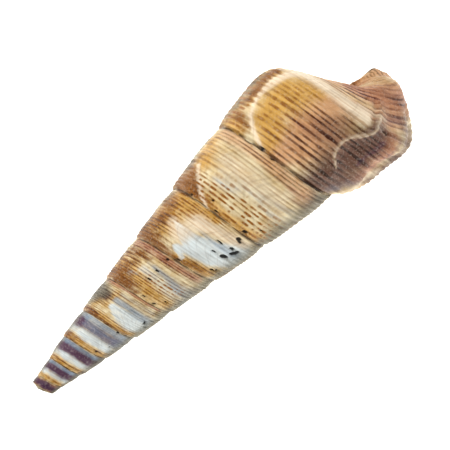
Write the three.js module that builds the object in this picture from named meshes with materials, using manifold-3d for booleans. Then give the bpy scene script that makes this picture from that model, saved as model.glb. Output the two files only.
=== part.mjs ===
// A turret shell: one high-spired, right-handed sea-snail shell, lying with its mouth down.
//
// The shell is drawn about its own axis first: the axis is Z, the worn tip is near z = 0 and the
// base is at the far end. Its tube winds round the axis and grows by the same factor every turn,
// so each cross-section is given in shares of one length, the reach: the distance from the point
// where the spiral would start to the seam (suture) above that part of the tube. Turn 0 of the
// last whorl is on the shell's right side when its back faces the viewer. The mesh is then laid
// down on z = 0, where it lies by itself. All lengths are in millimetres.

import * as THREE from "three";
import Module from "manifold-3d";

// Growth of the spiral.
const REACH = 48.8;
const GROWTH = 1.243;
const START_OFFSET = 1.9;
const FIRST_TURN = -8.3;
const LAST_TURN = 0.72;
const LATE_LEAN = 1.14;
const EARLY_WIDTH = 0.014;

// The worn tip is a shallow dome, a little off the axis.
const TIP_HEIGHT = 7.6;
const TIP_CENTRE_X = 0.4;
const TIP_CURVE = 0.28;
const TIP_WEAR = 0.2;

// Walls, in shares of the reach.
const WALL = 0.017;
const GLAZE = 0.004;
const HOLLOW_TURNS = 4;

// How finely the surface is cut up.
const COLUMNS_PER_TURN = 24;
const HOLLOW_COLUMNS_PER_TURN = 20;

// How the shell lies, in degrees: its axis rises from the tip to the base, and it is rolled about
// that axis until it rests on its belly and the edge of its lip.
const AXIS_RISE = 9.23;
const ROLL = 104.4;

// Cross-sections from the seam down the outer wall to the keel, then inwards under the base to
// the central pillar (columella). Each point is [drop below the seam, distance from the axis].
// Points up to SEAM_ROW are the outer wall; on the spire that one is the next whorl's seam.
const SEAM_ROW = 8;
const SPIRE = [
  [0, 0.158], [0.012, 0.165], [0.035, 0.171], [0.08, 0.178], [0.125, 0.1848], [0.165, 0.19],
  [0.195, 0.1932], [0.222, 0.1925], [0.243, 0.1964],
  [0.258, 0.17], [0.27, 0.135], [0.275, 0.1], [0.272, 0.068], [0.26, 0.042], [0.238, 0.022],
  [0.205, 0.014],
];
const BODY = [
  [0, 0.1515], [0.012, 0.162], [0.035, 0.169], [0.08, 0.1755], [0.125, 0.181], [0.155, 0.1835],
  [0.178, 0.181], [0.198, 0.1735], [0.213, 0.159],
  [0.231, 0.13], [0.246, 0.098], [0.258, 0.07], [0.265, 0.052], [0.258, 0.036], [0.238, 0.021],
  [0.205, 0.014],
];
const FLARE = [
  [0, 0.1515], [0.01, 0.163], [0.028, 0.179], [0.06, 0.1915], [0.11, 0.199], [0.158, 0.2035],
  [0.188, 0.2065], [0.208, 0.205], [0.225, 0.194],
  [0.244, 0.17], [0.262, 0.14], [0.282, 0.104], [0.289, 0.072], [0.275, 0.042], [0.245, 0.02],
  [0.205, 0.011],
];
const LIP = [
  [0, 0.1515], [0.01, 0.162], [0.028, 0.175], [0.06, 0.187], [0.11, 0.195], [0.158, 0.199],
  [0.188, 0.2], [0.205, 0.197], [0.216, 0.188],
  [0.229, 0.167], [0.241, 0.142], [0.25, 0.115], [0.25, 0.09], [0.236, 0.06], [0.205, 0.033],
  [0.16, 0.012],
];

// The lip swings back in a wide notch half-way down the outer wall: turns behind its top end.
const SINUS = [
  0, -0.02, -0.05, -0.09, -0.11, -0.105, -0.088, -0.074, -0.07,
  -0.068, -0.064, -0.06, -0.055, -0.045, -0.03, 0,
];

const SHELL_COLOUR = "#c39a6c";

/** Smooth step from 0 at `low` to 1 at `high`. */
function ease(low, high, x) {
  const t = Math.min(Math.max((x - low) / (high - low), 0), 1);
  return t * t * (3 - 2 * t);
}

/** The reach at a turn. The last whorls lean a little, so their seams sit higher on one side. */
function reachAt(turn) {
  const lean = LATE_LEAN * ease(-1.7, -0.3, turn) * Math.sin(Math.PI * turn) ** 2;
  return REACH * GROWTH ** turn - lean;
}

/** One point of the cross-section at a turn, as [drop, radius] shares. */
function sectionPoint(turn, row) {
  const toBody = ease(LAST_TURN - 1, 0, turn);
  const toFlare = ease(0.33, 0.55, turn);
  const toLip = ease(0.52, 0.68, turn);
  const mix = (from, to, share) => from * (1 - share) + to * share;
  const blend = (k) => {
    const whorl = mix(SPIRE[row][k], BODY[row][k], toBody);
    return mix(mix(whorl, FLARE[row][k], toFlare), LIP[row][k], toLip);
  };
  return [blend(0), blend(1)];
}

/** Place shares [drop, radius] at a turn into the shell's own frame. */
function place(turn, [drop, radius]) {
  const reach = reachAt(turn);
  const angle = 2 * Math.PI * turn;
  const z = reach - START_OFFSET + drop * reach;
  const worn = 1 - TIP_WEAR * (1 - ease(TIP_HEIGHT, 2 * TIP_HEIGHT, z));
  const r = radius * (reach + EARLY_WIDTH * (REACH - reach)) * worn;
  const x = r * Math.cos(angle);
  const y = r * Math.sin(angle);
  const dome = TIP_HEIGHT + TIP_CURVE * ((x - TIP_CENTRE_X) ** 2 + y ** 2);
  return [x, y, Math.max(z, dome)];
}

/** Gathers vertices and triangles, and turns them into a manifold solid. */
class MeshBuilder {
  constructor() {
    this.vertices = [];
    this.triangles = [];
  }

  /** Add a vertex and return its index. */
  vertex(point) {
    this.vertices.push(...point);
    return this.vertices.length / 3 - 1;
  }

  /** Close a loop of vertices with a fan about a new centre point. */
  fan(loop, centre) {
    const hub = this.vertex(centre);
    loop.forEach((vertex, i) => {
      this.triangles.push(vertex, loop[(i + 1) % loop.length], hub);
    });
  }

  /** Fill the strip between two equally long rows of vertices. */
  strip(left, right) {
    for (let i = 0; i + 1 < left.length; i += 1) {
      this.triangles.push(left[i], right[i], right[i + 1]);
      this.triangles.push(left[i], right[i + 1], left[i + 1]);
    }
  }

  solid(wasm) {
    const mesh = new wasm.Mesh({
      numProp: 3,
      vertProperties: new Float32Array(this.vertices),
      triVerts: new Uint32Array(this.triangles),
    });
    return new wasm.Manifold(mesh);
  }
}

/** The shell's outside as one closed solid, its mouth still filled. */
function outerSolid(wasm) {
  const builder = new MeshBuilder();
  const count = Math.round((LAST_TURN - FIRST_TURN) * COLUMNS_PER_TURN);
  const firstOfLastWhorl = count - COLUMNS_PER_TURN;
  const columns = [];

  // Columns run from the lip back to the tip, because each one's lowest wall point is the seam
  // point of the column one turn later.
  for (let j = count; j >= 0; j -= 1) {
    const turn = LAST_TURN - (count - j) / COLUMNS_PER_TURN;
    const swing = ease(LAST_TURN - 0.95, LAST_TURN - 0.2, turn);
    const isOpen = j >= firstOfLastWhorl;
    const rows = isOpen ? SPIRE.length : SEAM_ROW;
    const column = [];
    for (let row = 0; row < rows; row += 1) {
      const isSeam = row === SEAM_ROW && j === firstOfLastWhorl;
      const at = turn + swing * SINUS[row];
      column.push(isSeam ? columns[count][0] : builder.vertex(place(at, sectionPoint(at, row))));
    }
    if (!isOpen) {
      column.push(columns[j + COLUMNS_PER_TURN][0]);
    }
    columns[j] = column;
  }

  for (let j = 0; j < count; j += 1) {
    const rows = Math.min(columns[j].length, columns[j + 1].length);
    builder.strip(columns[j].slice(0, rows), columns[j + 1].slice(0, rows));
  }

  // The tip: round the first whorl's seam, then back up its first column.
  const tipLoop = columns.slice(0, COLUMNS_PER_TURN + 1).map((column) => column[0]);
  const firstColumn = columns[0].slice(1, SEAM_ROW).reverse();
  builder.fan([...tipLoop, ...firstColumn].reverse(), [TIP_CENTRE_X, 0, TIP_HEIGHT]);

  // The mouth, and the small end of the pillar.
  const lip = columns[count];
  const inner = columns[firstOfLastWhorl].slice(SEAM_ROW + 1).reverse();
  const mouthTurn = LAST_TURN - 0.05;
  builder.fan([...lip, ...inner].reverse(), place(mouthTurn, [0.14, 0.09]));
  const pillar = columns.slice(firstOfLastWhorl).map((column) => column.at(-1));
  builder.fan(pillar, place(LAST_TURN, [0.155, 0]));
  return builder.solid(wasm);
}

/** Move a cross-section point square to the section's line: outwards for a positive distance. */
function offsetPoint(turn, row, distance) {
  const [drop, radius] = sectionPoint(turn, row);
  const [dropBefore, radiusBefore] = sectionPoint(turn, row - 1);
  const [dropAfter, radiusAfter] = sectionPoint(turn, row + 1);
  const run = Math.hypot(dropAfter - dropBefore, radiusAfter - radiusBefore);
  return [
    drop - (distance * (radiusAfter - radiusBefore)) / run,
    radius + (distance * (dropAfter - dropBefore)) / run,
  ];
}

/** The closed cross-section of the hollow at a turn, as shares. */
function hollowSection(turn) {
  const wall = [2, 3, 4, 5, 6, 7, 8, 9, 10, 11, 12].map((row) => offsetPoint(turn, row, -WALL));
  const pillar = [[0.21, 0.042], [0.13, 0.036], [0.065, 0.04]];
  const shrink = reachAt(turn - 1) / reachAt(turn);
  const roof = [12, 11, 10, 9].map((row) => {
    const [drop, radius] = offsetPoint(turn - 1, row, GLAZE);
    return [(1 + drop) * shrink - 1, radius * shrink];
  });
  return [...wall, ...pillar, ...roof];
}

/** The hollow of the tube, as a spiral plug that stands out of the mouth. */
function hollowSolid(wasm) {
  const builder = new MeshBuilder();
  const end = LAST_TURN + 0.04;
  const count = HOLLOW_TURNS * HOLLOW_COLUMNS_PER_TURN;
  const rings = [];
  for (let j = 0; j <= count; j += 1) {
    const turn = end - (count - j) / HOLLOW_COLUMNS_PER_TURN;
    rings.push(hollowSection(turn).map((shares) => builder.vertex(place(turn, shares))));
  }
  for (let j = 0; j < count; j += 1) {
    const close = (ring) => [...ring, ring[0]];
    builder.strip(close(rings[j]), close(rings[j + 1]));
  }
  const first = end - HOLLOW_TURNS;
  builder.fan(rings[0], place(first, [0.14, 0.1]));
  builder.fan([...rings[count]].reverse(), place(end, [0.14, 0.1]));
  return builder.solid(wasm);
}

/** A three.js geometry of a manifold solid. */
function toGeometry(solid) {
  const mesh = solid.getMesh();
  const geometry = new THREE.BufferGeometry();
  geometry.setAttribute("position", new THREE.BufferAttribute(mesh.vertProperties, 3));
  geometry.setIndex(new THREE.BufferAttribute(mesh.triVerts, 1));
  geometry.computeVertexNormals();
  return geometry;
}

const wasm = await Module();
wasm.setup();

const shell = new THREE.Mesh(
  toGeometry(outerSolid(wasm).subtract(hollowSolid(wasm))),
  new THREE.MeshStandardMaterial({ color: SHELL_COLOUR, roughness: 0.45, metalness: 0 }),
);
shell.name = "shell";

const rolled = new THREE.Group();
rolled.rotation.z = THREE.MathUtils.degToRad(ROLL);
rolled.add(shell);

const laid = new THREE.Group();
laid.rotation.y = THREE.MathUtils.degToRad(90 - AXIS_RISE);
laid.add(rolled);

// Its footprint's middle goes to the origin, and its lowest point to z = 0.
laid.updateMatrixWorld(true);
const box = new THREE.Box3().setFromObject(laid, true);
const middle = box.getCenter(new THREE.Vector3());
laid.position.set(-middle.x, -middle.y, -box.min.z);

const part = new THREE.Group();
part.add(laid);

export default part;
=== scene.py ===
"""The looks of a turret shell: one worn, high-spired sea-snail shell lying mouth down.

The shell is one piece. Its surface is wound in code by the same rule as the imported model, a
Geometry Nodes tree then raises the threads, growth wrinkles, scar and pits on it, and one
material for the outside and one for the inside give it its colours.

Places on the surface are named by two numbers. The turn counts whorls along the coil, from
about -8 at the tip to 0.72 at the lip. The span runs across a whorl, from 0 at its upper seam
to 1 at its lower seam, and on under the base of the last whorl to the pillar.
"""

import logging
import math
from dataclasses import dataclass, field
from enum import Enum
from functools import partial
from typing import Any, Callable, Iterable, Sequence

import bpy
import numpy as np
from mathutils import Matrix, Vector


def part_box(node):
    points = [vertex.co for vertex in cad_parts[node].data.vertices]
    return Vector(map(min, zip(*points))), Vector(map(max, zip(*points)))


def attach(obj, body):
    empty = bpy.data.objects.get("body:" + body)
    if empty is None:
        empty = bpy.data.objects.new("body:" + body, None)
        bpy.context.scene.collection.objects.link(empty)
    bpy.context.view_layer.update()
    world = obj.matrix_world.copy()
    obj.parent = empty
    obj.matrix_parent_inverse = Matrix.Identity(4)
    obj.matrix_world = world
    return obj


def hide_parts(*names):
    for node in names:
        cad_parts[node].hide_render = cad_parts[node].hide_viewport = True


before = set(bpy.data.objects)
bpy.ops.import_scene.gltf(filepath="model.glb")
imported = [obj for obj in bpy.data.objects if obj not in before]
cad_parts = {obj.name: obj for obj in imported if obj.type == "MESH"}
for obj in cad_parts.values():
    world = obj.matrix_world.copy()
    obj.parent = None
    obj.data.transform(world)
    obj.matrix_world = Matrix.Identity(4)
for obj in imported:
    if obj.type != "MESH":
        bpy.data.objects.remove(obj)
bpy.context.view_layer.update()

LOG = logging.getLogger("turret_shell")
MM = 0.001
TAU = 2.0 * math.pi
FAR = 9.0
TINY = 1e-9
ARAGONITE_IOR = 1.53
GIRDLE_MARKS_PER_TURN = 4
FAR_SIDE_SEED = 11
FAR_MARKS = 3
FAR_SOFT = 0.8
PIT_SEED = 5
PIT_MARKS = 7
PIT_HALF_TURN = 0.004

# Kinds of node, and settings that several nodes share. A colour mix takes its share and its two
# colours at inputs 0, 6 and 7 and gives the result at output 2.
MATH = "ShaderNodeMath"
VECTOR = "ShaderNodeVectorMath"
JOIN = "ShaderNodeCombineXYZ"
NOISE = "ShaderNodeTexNoise"
RANGE = "ShaderNodeMapRange"
BLEND = "ShaderNodeMix"
SMOOTH = {"interpolation_type": "SMOOTHSTEP"}
COLOUR = {"output": 2, "data_type": "RGBA"}
TINT = {**COLOUR, "blend_type": "MULTIPLY"}


def linear(hex_colour: str) -> tuple[float, float, float, float]:
    """Turn an sRGB hex colour into linear light.

    Args:
        hex_colour: The colour as "#RRGGBB".

    Returns:
        Red, green, blue and an alpha of 1.
    """
    parts = [int(hex_colour[i : i + 2], 16) / 255 for i in (1, 3, 5)]
    low = [p / 12.92 if p <= 0.04045 else ((p + 0.055) / 1.055) ** 2.4 for p in parts]
    return (low[0], low[1], low[2], 1.0)


def ease(low: float, high: float, x: Any) -> Any:
    """Step smoothly from 0 at low to 1 at high.

    Args:
        low: Where the step starts.
        high: Where it ends.
        x: A number or an array.

    Returns:
        The step's height at x.
    """
    t = np.clip((np.asarray(x, float) - low) / (high - low), 0.0, 1.0)
    return t * t * (3.0 - 2.0 * t)


def add_node(
    tree: bpy.types.NodeTree,
    kind: str,
    inputs: Any = (),
    output: Any = 0,
    **settings: Any,
) -> bpy.types.NodeSocket | None:
    """Add a node, set it and link it.

    Args:
        tree: The shader or geometry tree.
        kind: Blender's name for the node's type.
        inputs: What goes in, in order, or by the input's name or number: an output socket to
            link, or a constant.
        output: The name or number of the output wanted.
        settings: Properties of the node.

    Returns:
        That output, or nothing for a node that has none.
    """
    node = tree.nodes.new(kind)
    for name, value in settings.items():
        setattr(node, name, value)
    pairs = inputs.items() if isinstance(inputs, dict) else enumerate(inputs)
    for key, value in pairs:
        if isinstance(value, bpy.types.NodeSocket):
            tree.links.new(value, node.inputs[key])
        else:
            node.inputs[key].default_value = value
    return node.outputs[output] if node.outputs else None


class Stain(Enum):
    """Something laid along the shell: a colour, or a feature of the relief."""

    TAN = "tan"
    HONEY = "honey"
    OCHRE = "ochre"
    # Grey-olive colour; along the whorls' edges it is painted shade.
    OLIVE = "olive"
    RUST = "rust"
    LINES = "lines"
    DASHES = "dashes"
    # Purple-brown colour; in the scar's trough and at some whorl edges it is painted shade.
    SHADE = "shade"
    CHALK = "chalk"
    WORN = "worn"
    BLUE = "blue"
    VIOLET = "violet"
    PIT = "pit"
    RIDGE = "ridge"
    HOLLOW = "hollow"


@dataclass(frozen=True)
class Mark:
    """A soft-edged stroke of one stain on the surface.

    Attributes:
        stain: What is laid.
        path: Points along the stroke, each (turn, span, half width in millimetres).
        strength: How strong it is along its middle.
        soft: The share of the half width over which its edge fades.
    """

    stain: Stain
    path: tuple[tuple[float, float, float], ...]
    strength: float = 1.0
    soft: float = 1.5


def girdle(
    stain: Stain, start: float, end: float, span: float, half: float, strength: float = 1.0
) -> list[Mark]:
    """Lay a stripe along the coil that widens as the coil grows.

    Args:
        stain: What is laid.
        start: The turn where the stripe starts.
        end: The turn where it ends.
        span: Its place across the whorl.
        half: Its half width as a share of the whorl's height.
        strength: How strong it is.

    Returns:
        One mark for each quarter turn.
    """
    form = SpiralForm()
    steps = max(2, int((end - start) * GIRDLE_MARKS_PER_TURN) + 1)
    turns = np.linspace(start, end, steps)
    marks = []
    for a, b in zip(turns[:-1], turns[1:]):
        widths = [half * form.whorl_height(float(t)) for t in (a, b)]
        path = ((float(a), span, widths[0]), (float(b), span, widths[1]))
        marks.append(Mark(stain, path, strength))
    return marks


@dataclass(frozen=True)
class SpiralForm:
    """The rule that the shell's tube follows round its axis, in millimetres.

    Cross-sections are given in shares of the reach, the distance from the point where the coil
    would start to the seam at that turn. Each row is (drop below the seam, radius). The spire's
    section turns into the body's, then the flare's, then the lip's; sinus is how far a growth
    line lags at each row, in turns.
    """

    reach_mm: float = 48.8
    growth: float = 1.243
    start_offset_mm: float = 1.9
    whorls: int = 9
    last_turn: float = 0.72
    late_lean_mm: float = 1.14
    lean_turns: tuple[float, float] = (-1.7, -0.3)
    flare_turns: tuple[float, float] = (0.33, 0.55)
    lip_turns: tuple[float, float] = (0.52, 0.68)
    swing_back: tuple[float, float] = (0.95, 0.2)
    width: float = 0.185
    early_width: float = 0.014
    tip_height_mm: float = 7.6
    tip_centre_mm: float = 0.4
    tip_curve: float = 0.28
    tip_wear: float = 0.2
    wall: float = 0.017
    glaze: float = 0.004
    seam_row: int = 8
    spire: tuple = (
        (0, 0.158), (0.012, 0.165), (0.035, 0.171), (0.08, 0.178), (0.125, 0.1848),
        (0.165, 0.19), (0.195, 0.1932), (0.222, 0.1925), (0.243, 0.1964), (0.258, 0.17),
        (0.27, 0.135), (0.275, 0.1), (0.272, 0.068), (0.26, 0.042), (0.238, 0.022),
        (0.205, 0.014),
    )
    body: tuple = (
        (0, 0.1515), (0.012, 0.162), (0.035, 0.169), (0.08, 0.1755), (0.125, 0.181),
        (0.155, 0.1835), (0.178, 0.181), (0.198, 0.1735), (0.213, 0.159), (0.231, 0.13),
        (0.246, 0.098), (0.258, 0.07), (0.265, 0.052), (0.258, 0.036), (0.238, 0.021),
        (0.205, 0.014),
    )
    flare: tuple = (
        (0, 0.1515), (0.01, 0.163), (0.028, 0.179), (0.06, 0.1915), (0.11, 0.199),
        (0.158, 0.2035), (0.188, 0.2065), (0.208, 0.205), (0.225, 0.194), (0.244, 0.17),
        (0.262, 0.14), (0.282, 0.104), (0.289, 0.072), (0.275, 0.042), (0.245, 0.02),
        (0.205, 0.011),
    )
    lip: tuple = (
        (0, 0.1515), (0.01, 0.162), (0.028, 0.175), (0.06, 0.187), (0.11, 0.195),
        (0.158, 0.199), (0.188, 0.2), (0.205, 0.197), (0.216, 0.188), (0.229, 0.167),
        (0.241, 0.142), (0.25, 0.115), (0.25, 0.09), (0.236, 0.06), (0.205, 0.033),
        (0.16, 0.012),
    )
    sinus: tuple = (
        0, -0.02, -0.05, -0.09, -0.11, -0.105, -0.088, -0.074, -0.07,
        -0.068, -0.064, -0.06, -0.055, -0.045, -0.03, 0,
    )
    threads_per_whorl: float = 17.5
    thread_drift: tuple = ((0.3, 1.3, 0.11), (0.15, 3.1, -0.07), (0.05, 6.7, 0.2))

    def reach(self, turn: Any) -> Any:
        """Measure the reach; the last whorls lean a little to one side.

        Args:
            turn: A turn, or an array of them.

        Returns:
            The reach there, in millimetres.
        """
        turn = np.asarray(turn, float)
        lean = self.late_lean_mm * ease(*self.lean_turns, turn) * np.sin(math.pi * turn) ** 2
        return self.reach_mm * self.growth**turn - lean

    def whorl_height(self, turn: float) -> float:
        """Return the distance between a whorl's two seams, in millimetres."""
        return float(self.reach_mm * self.growth**turn * (self.growth - 1.0))

    @staticmethod
    def along(table: np.ndarray, row: np.ndarray) -> np.ndarray:
        """Run a smooth curve through a table's rows.

        Args:
            table: One row of numbers for each point of the curve.
            row: Where to read the curve, as row numbers with fractions.

        Returns:
            The curve's points.
        """
        before = 2.0 * table[0] - table[1]
        after = 2.0 * table[-1] - table[-2]
        knots = np.vstack([before, table, after])
        cell = np.clip(np.floor(row).astype(int), 0, len(table) - 2)
        t = (row - cell)[:, None]
        a, b, c, d = (knots[cell + k] for k in range(4))
        bend = (2 * a - 5 * b + 4 * c - d) * t**2 + (3 * b - a - 3 * c + d) * t**3
        return 0.5 * (2 * b + (c - a) * t + bend)

    def section(self, turn: np.ndarray, row: np.ndarray) -> np.ndarray:
        """Shape the cross-section.

        Args:
            turn: The turn of each point.
            row: Its row in the section tables, with fractions.

        Returns:
            Its (drop, radius) shares.
        """
        seam = self.seam_row
        spire = np.array(self.spire, float)
        upper = self.along(spire[: seam + 1], np.minimum(row, seam))
        lower = self.along(spire[seam:], np.maximum(row - seam, 0.0))
        shares = np.where((row <= seam)[:, None], upper, lower)
        steps = (
            (self.body, ease(self.last_turn - 1.0, 0.0, turn)),
            (self.flare, ease(*self.flare_turns, turn)),
            (self.lip, ease(*self.lip_turns, turn)),
        )
        for table, share in steps:
            other = self.along(np.array(table, float), row)
            shares = shares + (other - shares) * share[:, None]
        return shares

    def stretch(self, turn: np.ndarray) -> np.ndarray:
        """Return how much deeper than usual a whorl is, so that it ends on the next seam."""
        exact = (self.reach(turn + 1.0) / self.reach(turn) - 1.0) / (self.growth - 1.0)
        return exact + (1.0 - exact) * ease(self.last_turn - 1.0, 0.0, turn)

    def place(self, turn: np.ndarray, shares: np.ndarray) -> np.ndarray:
        """Put points in the shell's own frame, its axis along Z.

        Args:
            turn: The turn of each point.
            shares: Its (drop, radius) shares.

        Returns:
            The points, in millimetres.
        """
        reach = self.reach(turn)
        angle = TAU * turn
        z = reach - self.start_offset_mm + shares[:, 0] * self.stretch(turn) * reach
        worn = 1.0 - self.tip_wear * (1.0 - ease(self.tip_height_mm, 2 * self.tip_height_mm, z))
        r = shares[:, 1] * (reach + self.early_width * (self.reach_mm - reach)) * worn
        x = r * np.cos(angle)
        y = r * np.sin(angle)
        return np.stack([x, y, np.maximum(z, self.dome(x, y))], axis=1)

    def dome(self, x: Any, y: Any) -> Any:
        """Return the height of the worn tip's dome."""
        return self.tip_height_mm + self.tip_curve * ((x - self.tip_centre_mm) ** 2 + y**2)

    def swing(self, turn: Any, row: np.ndarray) -> np.ndarray:
        """Return how far the growing edge lags at a row, in turns."""
        start, end = (self.last_turn - back for back in self.swing_back)
        return ease(start, end, turn) * self.lag(row)

    def lag(self, row: np.ndarray) -> np.ndarray:
        """Return how far a growth line lags at a row, in turns."""
        return self.along(np.array(self.sinus, float)[:, None], row)[:, 0]

    def thread(self, turn: np.ndarray, span: np.ndarray) -> np.ndarray:
        """Number the threads across a whorl, unevenly spaced.

        Args:
            turn: The turn of each point.
            span: Its span.

        Returns:
            Its place among the threads, a whole number on each crest.
        """
        drift = 0.0
        for size, across, along in self.thread_drift:
            drift = drift + size * np.sin(TAU * (across * span + along * turn))
        return self.threads_per_whorl * span + drift

    def offset(self, turn: float, rows: Sequence[float], distance: float) -> np.ndarray:
        """Move section points square to the section.

        Args:
            turn: The section's turn.
            rows: The points' rows.
            distance: How far they move, outwards if positive.

        Returns:
            Their (drop, radius) shares.
        """
        row = np.array(rows, float)
        at = np.full(len(row), turn)
        here = self.section(at, row)
        slope = self.section(at, row + 0.5) - self.section(at, row - 0.5)
        slope /= np.linalg.norm(slope, axis=1)[:, None]
        return here + distance * np.stack([-slope[:, 1], slope[:, 0]], axis=1)


@dataclass
class Surface:
    """Vertices, faces and what is known of each, gathered while the shell is wound."""

    points: list[np.ndarray] = field(default_factory=list)
    known: list[np.ndarray] = field(default_factory=list)
    faces: list[tuple[int, ...]] = field(default_factory=list)
    corners: list[tuple[tuple[float, float], ...]] = field(default_factory=list)
    count: int = 0

    def add(self, points: np.ndarray, turn: Any, span: Any, inside: float = 0.0) -> np.ndarray:
        """Add a row of vertices.

        Args:
            points: Their places in millimetres.
            turn: Their turns.
            span: Their places across the whorl.
            inside: 1 on the inside of the tube.

        Returns:
            Their numbers.
        """
        size = len(points)
        columns = [np.broadcast_to(np.asarray(v, float), size) for v in (turn, span, inside)]
        self.points.append(points)
        self.known.append(np.stack(columns, axis=1))
        self.count += size
        return np.arange(self.count - size, self.count)

    def strip(
        self, left: np.ndarray, right: np.ndarray, left_at: np.ndarray, right_at: np.ndarray
    ) -> None:
        """Fill between two columns; the right one may have twice as many steps.

        Args:
            left: Vertex numbers of the earlier column.
            right: Vertex numbers of the later column.
            left_at: The (turn, span) of each vertex as this strip sees it.
            right_at: The same for the later column.
        """
        steps = len(left) - 1
        ratio = (len(right) - 1) // steps
        for i in range(steps):
            k = i * ratio
            ring = [(left, left_at, i)]
            ring += [(right, right_at, k + m) for m in range(ratio + 1)]
            ring += [(left, left_at, i + 1)]
            self.faces.append(tuple(int(v[n]) for v, _, n in ring))
            self.corners.append(tuple((float(a[n][0]), float(a[n][1])) for _, a, n in ring))

    def fan(self, loop: Sequence[int], hub: int, at: Sequence[tuple[float, float]]) -> None:
        """Close a loop with triangles about a hub.

        Args:
            loop: Vertex numbers round the loop.
            hub: The vertex number of its middle.
            at: The (turn, span) of each vertex of the loop.
        """
        for i in range(len(loop)):
            j = (i + 1) % len(loop)
            middle = ((at[i][0] + at[j][0]) / 2, (at[i][1] + at[j][1]) / 2)
            self.faces.append((int(loop[i]), int(loop[j]), int(hub)))
            self.corners.append((tuple(at[i]), tuple(at[j]), middle))


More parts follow.
